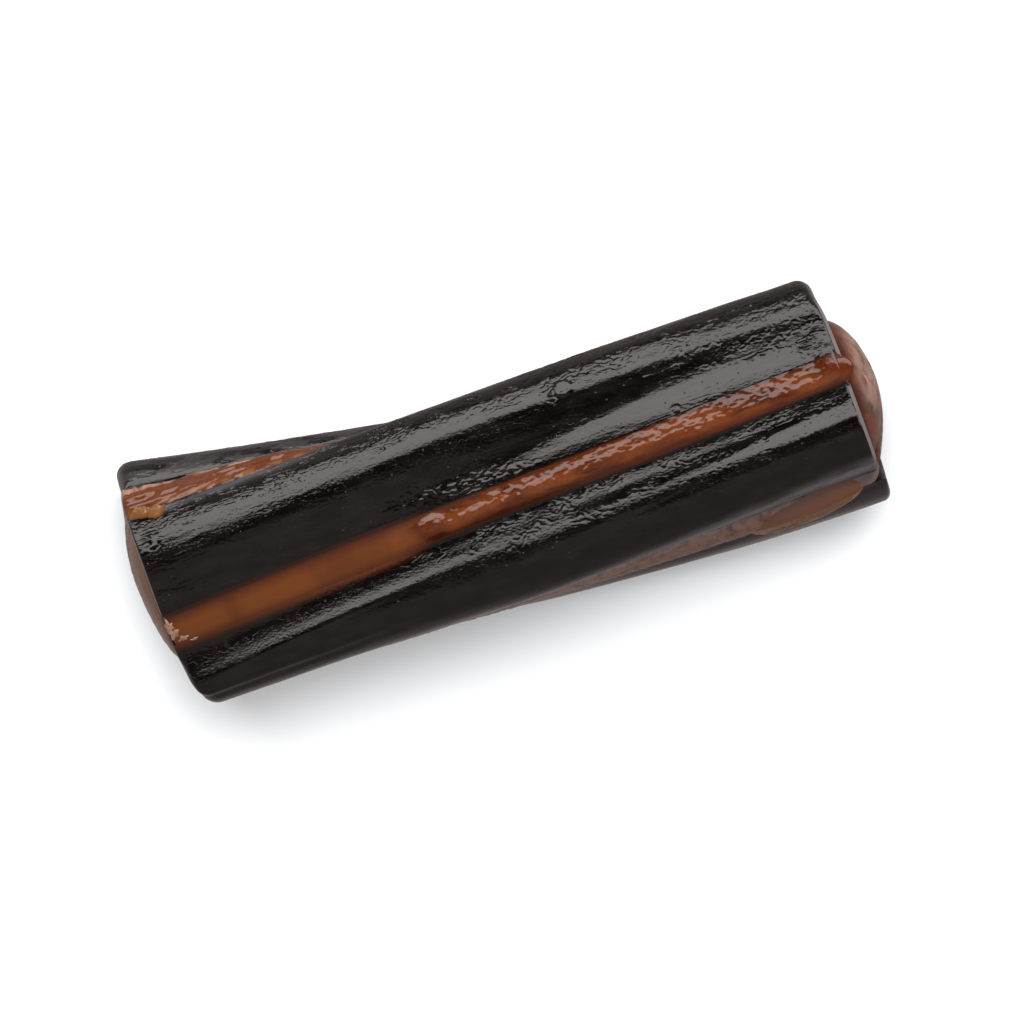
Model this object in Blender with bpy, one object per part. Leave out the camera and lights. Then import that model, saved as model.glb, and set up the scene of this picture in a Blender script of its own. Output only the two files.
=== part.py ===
"""Licorice twist: four licorice strips wound round a caramel core that bulges at both cut ends.

The stick lies along X with the side shown uppermost. Everything is worked out round the
stick's own axis: an angle of 0 points straight up and a positive angle leans towards -Y.
Values given for three places hold at the left end, the middle and the right end.
"""

import math

import bmesh
import bpy
import numpy as np

MM = 0.001

# Stick: half its length to the strips' ends, its two cut planes and how its axis lies.
HALF_LENGTH = 23.8 * MM
CUT_AT = {"left": -24.75 * MM, "right": 24.48 * MM}
CUT_SKEW = -0.082
AXIS_HEIGHT = 7.15 * MM
AXIS_BEND = (0.46 * MM, -0.27 * MM, 0.12 * MM)
BOX_CENTRE = (0.2158 * MM, 0.2727 * MM)

# Angle of the caramel groove that lies on top, in degrees, as the stick twists.
TWIST = (28.0, 0.45, -18.0)

# Each strip's outer face, as distances from the axis in mm: at the groove before it, at its
# crown and at the groove after it. crown_at is the crown's share of the way across, and rise
# and fall are the powers of its two flanks: a larger one keeps the flank low for longer.
STRIPS = {
    "licorice_back": {
        "before": (6.40, 6.40, 6.40),
        "crown": (8.97, 8.30, 7.95),
        "after": (6.65, 6.74, 7.15),
        "crown_at": (0.50, 0.53, 0.60),
        "rise": 0.85,
        "fall": 0.72,
    },
    "licorice_upper": {
        "before": (6.30, 7.00, 6.67),
        "crown": (6.60, 7.94, 8.55),
        "after": (6.79, 6.26, 6.47),
        "crown_at": (0.38, 0.17, 0.28),
        "rise": 0.72,
        "fall": 2.57,
    },
    "licorice_front": {
        "before": (6.89, 6.21, 6.47),
        "crown": (10.11, 9.19, 8.59),
        "after": (6.87, 6.86, 6.88),
        "crown_at": (0.30, 0.48, 0.59),
        "rise": 1.85,
        "fall": 2.00,
    },
    "licorice_under": {
        "before": (7.20, 7.00, 6.45),
        "crown": (8.04, 8.40, 7.70),
        "after": (6.40, 6.40, 6.40),
        "crown_at": (0.50, 0.50, 0.50),
        "rise": 1.00,
        "fall": 0.60,
    },
}

# How much longer than the rest a strip is at its left and right end.
EXTRA_LENGTH = {
    "licorice_back": {"left": -0.2 * MM, "right": 0.0},
    "licorice_upper": {"left": 0.0, "right": 0.12 * MM},
    "licorice_front": {"left": -0.05 * MM, "right": 0.0},
    "licorice_under": {"left": 0.0, "right": 0.25 * MM},
}

# The groove before each strip, in the same order: its angle and half its angular width.
GROOVES = [
    {"angle": (-188.0, -188.0, -188.0), "half": (11.0, 11.0, 11.0)},
    {"angle": (-92.5, -97.0, -103.0), "half": (17.2, 17.2, 17.2)},
    {"angle": (-2.0, 0.0, 0.0), "half": (8.0, 10.3, 10.0)},
    {"angle": (85.2, 85.2, 85.2), "half": (7.9, 8.8, 8.8)},
]

# The caramel: its round body, how far it swells in a groove, and the slit between it and a strip.
CORE_RADIUS = 5.45 * MM
CROWN = 0.12 * MM
GAP = 0.3 * MM

# The caramel's bulge past each cut: its height, how far its top lies from the axis, and the
# power of its profile, which a lean makes fuller on one side.
BULGE = {
    "left": {"height": 1.05 * MM, "shift": 0.5 * MM, "power": 0.92, "lean": -0.28},
    "right": {"height": 1.9 * MM, "shift": 1.0 * MM, "power": 0.8, "lean": 0.22},
}

# Rounding of the strips' ends, where they face sideways and where they face up.
RIM_SIDE = 1.15 * MM
RIM_TOP = 0.2 * MM
RIM_HIDDEN = 0.12 * MM

# The height over which a strip's underside flattens where the stick rests.
SETTLE = 0.15 * MM

STRIP_BACK_POINTS = 17
STRIP_BASE_POINTS = 7
STRIP_RINGS = 30
RIM_STEPS = 3
CORE_RINGS = 34
GROOVE_POINTS = 5
ARC_POINTS = 5
BULGE_STEPS = ((0.98, 0.75), (0.92, 0.3), (0.8, 0.0), (0.62, 0.0), (0.42, 0.0), (0.2, 0.0))
CUT_PASSES = 4

LICORICE = {"colour": (0.012, 0.011, 0.010, 1.0), "roughness": 0.25}
CARAMEL = {"colour": (0.20, 0.055, 0.018, 1.0), "roughness": 0.3}


def along(values, u):
    """Runs through the left, middle and right value as u goes from -1 to 1."""
    left, middle, right = values
    return middle + (right - left) / 2 * u + ((left + right) / 2 - middle) * u * u


def groove_edge(groove, side, u, turn=0.0):
    """Angle of a groove's wall on side -1 or 1. turn is added to a groove met a second time."""
    return along(groove["angle"], u) + turn + side * along(groove["half"], u)


def strip_back(strip, before, after, share, u):
    """Angle and radius of a strip's outer face. share runs from 0 to 1 between its two grooves."""
    first = groove_edge(before, 1, u)
    last = groove_edge(after, -1, u, 360.0 if after is GROOVES[0] else 0.0)
    crown, crown_at = along(strip["crown"], u), along(strip["crown_at"], u)
    rising = share < crown_at
    edge = np.where(rising, along(strip["before"], u), along(strip["after"], u))
    climb = np.where(rising, share / crown_at, (1 - share) / (1 - crown_at))
    power = np.where(rising, strip["rise"], strip["fall"])
    radius = edge + (crown - edge) * np.sin(np.clip(climb, 0.0, 1.0) * math.pi / 2) ** power
    return first + (last - first) * share, radius * MM


def place(x, angle, radius):
    """Puts points given by angle and radius in the model's frame, on the flat they rest on."""
    u = x / HALF_LENGTH
    phi = np.radians(angle + along(TWIST, u))
    y = along(AXIS_BEND, u) - radius * np.sin(phi)
    z = AXIS_HEIGHT + radius * np.cos(phi)
    settled = np.where(z > -SETTLE, (z + SETTLE) ** 2 / (4 * SETTLE), 0.0)
    z = np.where(z > SETTLE, z, settled)
    return np.stack([x - BOX_CENTRE[0], y - BOX_CENTRE[1], z], axis=-1), y


def cut_x(end, outline, setback):
    """The x at which each point of an outline meets a skewed cut, found in a few passes."""
    inward = 1.0 if end == "left" else -1.0
    x = np.full(len(setback), CUT_AT[end])
    for _ in range(CUT_PASSES):
        _, y = place(x, *outline(x / HALF_LENGTH))
        x = CUT_AT[end] + CUT_SKEW * y + inward * setback
    return x


def strip_outline(strip, before, after, u, inset):
    """Closed outline of a strip: its back from groove to groove, then its base on the core."""
    spread = np.sin(np.linspace(-math.pi / 2, math.pi / 2, STRIP_BACK_POINTS))
    share = (spread + 1) / 2
    base = np.linspace(1.0, 0.0, STRIP_BASE_POINTS)
    shares = np.concatenate([share, base])
    angle, radius = strip_back(strip, before, after, shares, u)
    on_base = np.arange(len(shares)) >= STRIP_BACK_POINTS
    radius = np.where(on_base, CORE_RADIUS + GAP / 2, radius - inset)
    return angle, radius


def rim_radii(strip, before, after, end):
    """How far each point of a strip's outline is rounded at a cut."""
    count = STRIP_BACK_POINTS + STRIP_BASE_POINTS
    u = np.full(count, CUT_AT[end] / HALF_LENGTH)
    angle, radius = strip_outline(strip, before, after, u, 0.0)
    phi = np.radians(angle + along(TWIST, u))
    sideways = np.sin(phi) ** 4 + np.where(np.cos(phi) < 0, 0.5 * np.cos(phi) ** 4, 0.0)
    proud = np.clip((radius - radius[0]) / (1.2 * MM), 0.0, 1.0)
    rim = RIM_TOP + (RIM_SIDE - RIM_TOP) * sideways * proud
    rim[STRIP_BACK_POINTS:] = RIM_HIDDEN
    return rim


def strip_rings(strip, extra, before, after):
    """Outlines from the left cut to the right one, with rounded rims at both."""
    ends = {}
    for end in ("left", "right"):
        rim = rim_radii(strip, before, after, end)
        steps = []
        for bend in np.linspace(math.pi / 2, 0.0, RIM_STEPS):
            inset = rim * (1 - math.cos(bend))
            setback = rim * (1 - math.sin(bend)) - extra[end]
            inset[STRIP_BACK_POINTS:] = 0.0
            x = cut_x(end, lambda u: strip_outline(strip, before, after, u, inset), setback)
            steps.append((x, inset))
        ends[end] = steps
    rings = list(ends["left"])
    first, last = ends["left"][-1][0], ends["right"][-1][0]
    for share in np.linspace(0.0, 1.0, STRIP_RINGS)[1:-1]:
        rings.append((first + (last - first) * share, 0.0))
    rings += reversed(ends["right"])
    placed = []
    for x, inset in rings:
        angle, radius = strip_outline(strip, before, after, x / HALF_LENGTH, inset)
        placed.append(place(x, angle, radius)[0])
    return placed


def core_outline(u, swell=1.0):
    """Closed outline of the caramel: its round body with a ridge filling each groove."""
    angles, radii = [], []
    slit = math.degrees(GAP / CORE_RADIUS)
    body = CORE_RADIUS - GAP / 2
    strips = list(STRIPS.values())
    across = np.linspace(0.0, 1.0, GROOVE_POINTS)
    crown = CROWN * (1 - (2 * across - 1) ** 2)
    under_strip = np.linspace(0.0, 1.0, ARC_POINTS + 2)[1:-1]
    shares = np.concatenate([[0.0], across, [1.0], under_strip])
    on_ridge = slice(1, 1 + GROOVE_POINTS)
    on_arc = slice(2 + GROOVE_POINTS, None)
    for index, groove in enumerate(GROOVES):
        here = u[index * len(shares) : (index + 1) * len(shares)]
        following = GROOVES[(index + 1) % len(GROOVES)]
        low = groove_edge(groove, -1, here) + slit
        high = groove_edge(groove, 1, here) - slit
        reach = groove_edge(following, -1, here, 360.0 if following is GROOVES[0] else 0.0) + slit
        level = along(strips[index - 1]["after"], here) * (1 - shares)
        level = (level + along(strips[index]["before"], here) * shares) * MM
        angle = low + (high - low) * shares
        angle[on_arc] = (high + (reach - high) * shares)[on_arc]
        radius = np.full(len(shares), body)
        radius[on_ridge] += (level[on_ridge] - body + crown) * swell
        angles.append(angle)
        radii.append(radius)
    return np.concatenate(angles), np.concatenate(radii)


def core_rings():
    """Outlines of the caramel from the left bulge to the right one."""
    flush = np.zeros(len(GROOVES) * (GROOVE_POINTS + 2 + ARC_POINTS))
    left = cut_x("left", core_outline, flush)
    right = cut_x("right", core_outline, flush)
    body = []
    for share in np.linspace(0.0, 1.0, CORE_RINGS):
        x = left + (right - left) * share
        body.append(place(x, *core_outline(x / HALF_LENGTH))[0])
    return bulge_rings("left", left)[::-1] + body + bulge_rings("right", right)


def bulge_rings(end, cut):
    """Rings that close in from a cut to the top of the caramel's bulge."""
    outward = -1.0 if end == "left" else 1.0
    bulge = BULGE[end]
    flat, _ = place(cut, *core_outline(cut / HALF_LENGTH, 0.0))
    middle = flat.mean(axis=0) + bulge["shift"] * np.array([CUT_SKEW, 1.0, 0.0])
    power = bulge["power"] - bulge["lean"] * (flat[:, 1] - middle[1]) / CORE_RADIUS
    rings = []
    for fraction, swell in BULGE_STEPS:
        rim, _ = place(cut, *core_outline(cut / HALF_LENGTH, swell))
        ring = middle + (rim - middle) * fraction
        ring[:, 0] += outward * bulge["height"] * (1 - fraction**2) ** power
        rings.append(ring)
    return rings


def skin(name, rings, look):
    """Makes one closed body from a row of outlines with the same number of points."""
    mesh = bmesh.new()
    rows = [[mesh.verts.new(point) for point in ring] for ring in rings]
    for row, following in zip(rows, rows[1:]):
        for i in range(len(row)):
            j = (i + 1) % len(row)
            mesh.faces.new((row[i], row[j], following[j], following[i]))
    mesh.faces.new(rows[0])
    mesh.faces.new(reversed(rows[-1]))
    bmesh.ops.recalc_face_normals(mesh, faces=mesh.faces)
    data = bpy.data.meshes.new(name)
    mesh.to_mesh(data)
    mesh.free()
    data.shade_smooth()
    data.set_sharp_from_angle(angle=math.radians(50))
    data.materials.append(material(name, look))
    body = bpy.data.objects.new(name, data)
    bpy.context.scene.collection.objects.link(body)
    return body


def material(name, look):
    """A Principled material with the part's own colour and gloss."""
    made = bpy.data.materials.new(name)
    made.use_nodes = True
    shader = made.node_tree.nodes["Principled BSDF"]
    shader.inputs["Base Color"].default_value = look["colour"]
    shader.inputs["Roughness"].default_value = look["roughness"]
    shader.inputs["Metallic"].default_value = 0.0
    return made


def main():
    for old in list(bpy.data.objects):
        bpy.data.objects.remove(old, do_unlink=True)
    skin("caramel_core", core_rings(), CARAMEL)
    for index, (name, strip) in enumerate(STRIPS.items()):
        before = GROOVES[index]
        after = GROOVES[(index + 1) % len(GROOVES)]
        skin(name, strip_rings(strip, EXTRA_LENGTH[name], before, after), LICORICE)


main()
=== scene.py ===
import math

import bmesh
import bpy
import numpy as np
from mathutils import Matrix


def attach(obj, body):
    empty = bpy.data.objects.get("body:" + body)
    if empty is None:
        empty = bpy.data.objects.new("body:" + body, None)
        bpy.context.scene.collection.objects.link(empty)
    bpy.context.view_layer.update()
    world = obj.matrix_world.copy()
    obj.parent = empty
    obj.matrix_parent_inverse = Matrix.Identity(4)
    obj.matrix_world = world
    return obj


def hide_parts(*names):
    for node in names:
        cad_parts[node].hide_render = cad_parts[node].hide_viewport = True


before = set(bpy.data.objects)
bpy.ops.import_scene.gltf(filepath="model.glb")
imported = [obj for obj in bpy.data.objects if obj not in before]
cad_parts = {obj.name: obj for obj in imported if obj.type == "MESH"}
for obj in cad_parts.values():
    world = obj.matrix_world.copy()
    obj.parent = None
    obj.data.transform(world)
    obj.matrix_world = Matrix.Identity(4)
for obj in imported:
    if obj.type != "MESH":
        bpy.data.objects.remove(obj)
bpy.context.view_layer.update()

mm = 0.001

# The whole stick, in mm and degrees. An angle of 0 points straight up and a positive one leans to -y.
# Where a value has three or five numbers, they are spaced evenly from the left end to the right.
stick = {
    "halfLength": 23.8,
    "cuts": {"left": -24.75, "right": 24.48},
    "cutSkew": -0.082,
    "axisHeight": 7.15,
    "bend": (0.46, -0.27, 0.12),
    "twist": (28.0, 0.45, -18.0),
    "centre": (0.2158, 0.2727),
    "settle": 0.15,
    "bodyRadius": 5.3,
    "stripBase": 5.45,
}

# The groove before each strip: the angles of its two walls.
grooves = [
    {"from": (-199.0, -199.0, -199.0), "to": (-177.0, -177.0, -177.0)},
    {"from": (-109.7, -114.2, -120.2), "to": (-84.5, -75.0, -79.8, -82.5, -85.8)},
    {"from": (-7.8, -9.6, -10.1, -9.3, -10.0), "to": (10.7, 11.1, 10.3, 11.6, 11.1)},
    {"from": (77.3, 76.4, 76.4), "to": (93.1, 93.5, 94.5, 95.0, 79.5)},
]

# Each strip's outer face, as distances from the stick's axis: at the groove before it, at its crown
# and at the groove after it. crownAt is the crown's share of the way across, rise and fall say how
# long the two flanks stay low, and a crease runs along the strip at a share of the way across.
# longer and lean move its cut and tilt it, and leather says how far across its leathery skin runs.
strips = {
    "licorice_back": {
        "before": (6.4, 6.4, 6.4),
        "crown": (8.97, 8.3, 7.95),
        "after": (6.65, 6.74, 7.15),
        "crownAt": (0.5, 0.53, 0.6),
        "rise": (0.85, 0.85, 0.85),
        "fall": (0.72, 0.72, 0.72),
        "creases": [],
        "longer": {"left": -0.13, "right": 0.0},
        "lean": {"left": 0.03, "right": 0.1},
        "roundLeft": 1.5,
        "across": 120,
        "rings": 380,
        "seed": 11,
        "coarse": 4.5,
    },
    "licorice_upper": {
        "before": (5.85, 7.1, 7.35, 7.05, 6.75),
        "crown": (6.05, 7.2, 7.9, 8.4, 8.55),
        "after": (6.7, 6.35, 6.45, 6.6, 6.45),
        "crownAt": (0.37, 0.22, 0.17, 0.2, 0.27),
        "rise": (1.4, 0.45, 0.45, 0.65, 0.85),
        "fall": (1.35, 1.95, 2.6, 3.0, 2.6),
        "creases": [
            {"at": (0.77, 0.78, 0.78, 0.75, 0.76), "deep": (0.21, 0.18, 0.22, 0.2, 0.1), "wide": 0.16},
            {"at": (0.56, 0.5, 0.47, 0.53, 0.6), "deep": (0.0, 0.0, -0.06, -0.08, -0.09), "wide": 0.058},
        ],
        "longer": {"left": 0.08, "right": 0.12},
        "lean": {"left": 0.05, "right": 0.25},
        "leather": (0.42, 0.42, 0.48, 0.66, 1.05),
        "across": 178,
        "rings": 500,
        "seed": 23,
    },
    "licorice_front": {
        "before": (7.0, 6.4, 6.4, 6.55, 6.4),
        "crown": (10.15, 9.45, 9.4, 8.9, 8.6),
        "after": (7.9, 7.8, 7.25, 6.75, 6.45),
        "crownAt": (0.26, 0.36, 0.48, 0.53, 0.55),
        "rise": (2.4, 1.75, 1.55, 1.45, 1.8),
        "fall": (2.95, 3.1, 2.35, 2.0, 1.9),
        "creases": [
            {"at": (0.12, 0.13, 0.17, 0.2, 0.18), "deep": (0.33, 0.13, 0.07, 0.16, 0.19), "wide": 0.061},
            {"at": (0.28, 0.37, 0.37, 0.3, 0.32), "deep": (0.1, 0.09, 0.04, 0.06, 0.03), "wide": 0.032},
            {"at": (0.185, 0.185, 0.19, 0.19, 0.19), "deep": (-0.19, -0.09, 0.0, 0.0, 0.0), "wide": 0.022},
        ],
        "longer": {"left": 0.05, "right": 0.0},
        "lean": {"left": 0.05, "right": 0.26},
        "roundLeft": 1.5,
        "slantLeft": 0.65,
        "leather": (0.0, 0.0, 0.3, 0.32, 0.34),
        "across": 178,
        "rings": 500,
        "seed": 37,
    },
    "licorice_under": {
        "before": (7.2, 7.1, 7.05),
        "crown": (8.04, 8.4, 7.7),
        "after": (6.4, 6.4, 6.4),
        "crownAt": (0.5, 0.5, 0.5),
        "rise": (1.0, 1.0, 1.0),
        "fall": (0.6, 0.6, 0.6),
        "creases": [],
        "longer": {"left": 0.0, "right": 0.25},
        "lean": {"left": 0.03, "right": 0.1},
        "across": 120,
        "rings": 380,
        "seed": 53,
    },
}


def along(values, u):
    # Runs through values spaced evenly from the left end, u = -1, to the right one, u = 1.
    if len(values) == 3:
        left, middle, right = values
        return middle + (right - left) / 2 * u + ((left + right) / 2 - middle) * u * u
    knots = np.array([2 * values[0] - values[1], *values, 2 * values[-1] - values[-2]])
    spot = np.clip((u + 1) / 2, 0.0, 1.0) * (len(values) - 1)
    cell = np.minimum(spot.astype(int), len(values) - 2)
    f = spot - cell
    a, b, c, d = knots[cell], knots[cell + 1], knots[cell + 2], knots[cell + 3]
    return b + f / 2 * (c - a + f * (2 * a - 5 * b + 4 * c - d + f * (3 * (b - c) + d - a)))


def ripple(x, y, seed):
    # Smooth random waves, one lattice cell long, about -1 to 1. Large odd numbers mix up the corners.
    cellX = np.floor(x).astype(np.int64)
    cellY = np.floor(y).astype(np.int64)
    offX, offY = x - cellX, y - cellY

    def corner(stepX, stepY):
        mixed = (cellX + stepX) * 374761393 + (cellY + stepY) * 668265263 + seed * 974634777
        mixed = ((mixed ^ (mixed >> 13)) * 1274126177) & 0xFFFFFFFF
        turn = ((mixed ^ (mixed >> 16)) & 0xFFFF) * (2 * math.pi / 65536)
        return np.cos(turn) * (offX - stepX) + np.sin(turn) * (offY - stepY)

    easeX = offX**3 * (offX * (6 * offX - 15) + 10)
    easeY = offY**3 * (offY * (6 * offY - 15) + 10)
    near = corner(0, 0) * (1 - easeX) + corner(1, 0) * easeX
    far = corner(0, 1) * (1 - easeX) + corner(1, 1) * easeX
    return 1.5 * (near * (1 - easeY) + far * easeY)


def rippleIn(values, x, across, seed):
    return ripple(x / values["cell"][0], across / values["cell"][1], seed + values["seed"])


def smooth(low, high, value):
    share = np.clip((value - low) / (high - low), 0.0, 1.0)
    return share * share * (3 - 2 * share)


def hump(value, at, wide):
    return np.exp(-(((value - at) / wide) ** 2))


def stripWalls(name, u):
    # Angles of the two groove walls that a strip lies between.
    index = list(strips).index(name)
    after = grooves[(index + 1) % len(grooves)]
    turn = 360.0 if after is grooves[0] else 0.0
    return along(grooves[index]["to"], u), along(after["from"], u) + turn


def stripFace(name, share, u):
    # Angle and distance from the axis of a strip's face, with no relief on it yet.
    strip = strips[name]
    first, last = stripWalls(name, u)
    crown, crownAt = along(strip["crown"], u), along(strip["crownAt"], u)
    rising = share < crownAt
    edge = np.where(rising, along(strip["before"], u), along(strip["after"], u))
    climb = np.where(rising, share / crownAt, (1 - share) / (1 - crownAt))
    power = np.where(rising, along(strip["rise"], u), along(strip["fall"], u))
    radius = edge + (crown - edge) * np.sin(np.clip(climb, 0.0, 1.0) * math.pi / 2) ** power
    for crease in strip["creases"]:
        radius = radius - along(crease["deep"], u) * hump(share, along(crease["at"], u), crease["wide"])
    return first + (last - first) * share, radius


def place(x, angle, radius):
    # The point at that angle and distance from the axis, in the part's frame, and its y in the stick's.
    u = x / stick["halfLength"]
    lean = np.radians(angle + along(stick["twist"], u))
    y = along(stick["bend"], u) - radius * np.sin(lean)
    z = stick["axisHeight"] + radius * np.cos(lean)
    settle = stick["settle"]
    z = np.where(z > settle, z, np.where(z > -settle, (z + settle) ** 2 / (4 * settle), 0.0))
    return np.stack([x - stick["centre"][0], y - stick["centre"][1], z], axis=-1), y


def atCut(end, outline, setback):
    # The x at which each point of an outline meets a skewed cut.
    inward = 1.0 if end == "left" else -1.0
    x = np.full(np.shape(setback), stick["cuts"][end])
    for _ in range(4):
        _, y = place(x, *outline(x / stick["halfLength"]))
        x = stick["cuts"][end] + stick["cutSkew"] * y + inward * setback
    return x


# The licorice's relief, as length along, width across and height in mm. Grain, nodules and wrinkles
# grow with how rough the skin is at a place. Pits and nodules are round, wrinkles are thin grooves
# and leather is a net of deeper ones, in patches.
skin = {
    "width": 13.0,
    "waves": [(8.0, 2.6, 0.05), (2.2, 0.75, 0.009)],
    "bow": {"high": 0.5, "stretch": 3, "seed": 3},
    "rough": {"cell": (5.0, 2.2), "least": 0.45, "from": (-0.5, 0.7), "seed": 61},
    "grain": [(0.62, 0.4, 0.0055), (0.27, 0.2, 0.005)],
    "grainSeed": 31,
    "seedStep": 7,
    "pits": {"cell": (0.34, 0.3), "deep": 0.035, "from": (0.72, 1.1), "seed": 91},
    "nodules": {"cell": (0.4, 0.34), "high": 0.026, "from": (0.68, 1.1), "seed": 89},
    "wrinkles": {"cell": (1.5, 0.6), "deep": 0.01, "thin": 0.07, "from": (0.6, 1.2), "seed": 97},
    "leather": {"cell": (0.62, 0.5), "deep": 0.055, "thin": 0.12, "bow": 0.6, "seed": 101},
    "leatherPatch": {"cell": (2.6, 1.1), "from": (-0.35, 0.25), "fade": 0.1, "seed": 103},
    "ring": {"at": 1.0, "wide": 0.35},
    "dishRim": (1.0, 1.5),
    "pucker": {"cell": (0.55, 0.4), "middle": 0.35, "fade": (0.5, 1.2), "seed": 17},
}

# Marks at places on the top, in the stick's own x and y: a dish is flattened inside a low rim, a
# ring is a thin groove, and a pucker is a patch of coarse wrinkles.
marksOnTop = {
    "licorice_upper": [
        {"kind": "dish", "at": (5.6, 5.75), "size": (0.52, 0.42), "high": 0.09},
        {"kind": "pucker", "at": (4.75, 5.9), "size": (0.5, 1.0), "high": 0.22},
        {"kind": "ring", "at": (12.6, 2.3), "size": (0.3, 0.26), "high": 0.05},
        {"kind": "pucker", "at": (-23.9, 3.3), "size": (0.9, 0.8), "high": 0.1},
        {"kind": "pucker", "at": (22.5, 3.9), "size": (1.4, 0.8), "high": 0.1},
        {"kind": "pucker", "at": (-3.0, 1.35), "size": (6.0, 0.85), "high": 0.1},
    ],
    "licorice_front": [
        {"kind": "pucker", "at": (-23.2, -4.6), "size": (1.2, 0.7), "high": 0.06},
    ],
}


def leatherRelief(name, x, across, share, bend):
    leather, patch, seed = skin["leather"], skin["leatherPatch"], strips[name]["seed"]
    until = along(strips[name]["leather"], x / stick["halfLength"])
    bent = across / leather["cell"][1] + leather["bow"] * bend
    fold = ripple(x / leather["cell"][0], bent, seed + leather["seed"])
    where = smooth(*patch["from"], rippleIn(patch, x, across, seed))
    where = where * (1 - smooth(until - patch["fade"], until, share))
    return -leather["deep"] * hump(fold, 0.0, leather["thin"]) * where


def markRelief(mark, x, y, seed):
    offX, offY = (x - mark["at"][0]) / mark["size"][0], (y - mark["at"][1]) / mark["size"][1]
    apart = np.sqrt(offX**2 + offY**2)
    if mark["kind"] == "dish":
        return mark["high"] * np.minimum(apart, 1.0) ** 2 * (1 - smooth(*skin["dishRim"], apart))
    if mark["kind"] == "ring":
        return -mark["high"] * hump(apart, skin["ring"]["at"], skin["ring"]["wide"])
    pucker = skin["pucker"]
    fold = rippleIn(pucker, x, y, seed)
    return mark["high"] * (np.abs(fold) - pucker["middle"]) * (1 - smooth(*pucker["fade"], apart))


def licoriceRelief(name, x, y, share):
    seed = strips[name]["seed"]
    across = share * skin["width"]
    height = np.zeros(np.shape(x))
    bow = skin["bow"]
    for index, (long, wide, high) in enumerate(skin["waves"]):
        waveSeed = seed + skin["seedStep"] * index
        slowX, slowY = x / (bow["stretch"] * long), across / (bow["stretch"] * wide)
        bent = across / wide + bow["high"] * ripple(slowX, slowY, waveSeed + bow["seed"])
        height = height + high * ripple(x / long, bent, waveSeed)
    worn = skin["rough"]
    rough = worn["least"] + smooth(*worn["from"], rippleIn(worn, x, across, seed))
    rough = strips[name].get("coarse", 1.0) * rough
    for index, (long, wide, high) in enumerate(skin["grain"]):
        grainSeed = seed + skin["grainSeed"] + skin["seedStep"] * index
        height = height + rough * high * ripple(x / long, across / wide, grainSeed)
    pits, nodules, wrinkles = skin["pits"], skin["nodules"], skin["wrinkles"]
    height = height - pits["deep"] * smooth(*pits["from"], rippleIn(pits, x, across, seed))
    lumpy = smooth(*nodules["from"], rippleIn(nodules, x, across, seed))
    height = height + rough * nodules["high"] * lumpy
    fold = rippleIn(wrinkles, x, across, seed)
    lines = hump(fold, 0.0, wrinkles["thin"]) * smooth(*wrinkles["from"], rough)
    height = height - rough * wrinkles["deep"] * lines
    if "leather" in strips[name]:
        height = height + leatherRelief(name, x, across, share, fold)
    for mark in marksOnTop.get(name, []):
        height = height + markRelief(mark, x, y, seed)
    return height


joining = {"weld": 2e-6, "sharpFrom": 60.0}


def addObject(name, data):
    made = bpy.data.objects.new(name, data)
    bpy.context.scene.collection.objects.link(made)
    return made


def gridFaces(rows, columns, start):
    index = start + np.arange(rows * columns).reshape(rows, columns)
    a, b, c, d = index[:-1, :-1], index[:-1, 1:], index[1:, 1:], index[1:, :-1]
    return np.stack([a, b, c, d], axis=-1).reshape(-1, 4)


def makePiece(name, grids, look, marks):
    # Joins grids of points, in mm, into one mesh. marks holds named values for each grid's points.
    points, faces, start = [], [], 0
    for grid in grids:
        rows, columns = grid.shape[:2]
        faces.append(gridFaces(rows, columns, start))
        points.append(grid.reshape(-1, 3))
        start += rows * columns
    data = bpy.data.meshes.new(name)
    data.from_pydata((np.concatenate(points) * mm).tolist(), [], np.concatenate(faces).tolist())
    for mark, values in marks.items():
        layer = data.attributes.new(mark, "FLOAT", "POINT")
        spread = [np.broadcast_to(v, grid.shape[:2]).reshape(-1) for v, grid in zip(values, grids)]
        layer.data.foreach_set("value", np.concatenate(spread).astype(np.float32))
    shape = bmesh.new()
    shape.from_mesh(data)
    bmesh.ops.remove_doubles(shape, verts=shape.verts, dist=joining["weld"])
    bmesh.ops.recalc_face_normals(shape, faces=shape.faces)
    shape.to_mesh(data)
    shape.free()
    data.shade_smooth()
    data.set_sharp_from_angle(angle=math.radians(joining["sharpFrom"]))
    data.materials.append(look)
    return addObject(name, data)


# Where the caramel's brown fades out beside the top groove, left of a place along the stick: how far
# it runs into each strip and how long the whole fade is, in mm, on a strip of that width.
soak = {
    "until": (-9.0, -5.0),
    "stripWidth": 8.0,
    "licorice_upper": (0.2, 1.3),
    "licorice_front": (0.62, 1.2),
}


def stripStain(name, x, share):
    if name not in soak:
        return np.zeros(x.shape)
    reach, fade = soak[name]
    apart = (1 - share if name == "licorice_upper" else share) * soak["stripWidth"]
    return np.clip((reach - apart) / fade, 0.0, 1.0) * (1 - smooth(*soak["until"], x))


# A grey bloom on the front strip's lower flank, a paler streak along it and a patch at its left end,
# and another along the upper strip's far edge. Each is partly a real bloom and partly a painted
# reflection of the floor.
haze = {
    "flank": {"strength": 0.64, "share": (0.55, 0.72), "x": (-1.0, 9.0)},
    "streak": {"strength": 0.36, "at": 0.86, "wide": 0.06, "x": (2.0, 11.0)},
    "leftEnd": {"strength": 0.32, "share": (0.6, 0.85), "until": (-24.5, -17.0)},
    "farEdge": {"strength": 0.29, "share": (0.04, 0.13), "until": (-16.0, -9.0)},
}


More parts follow.
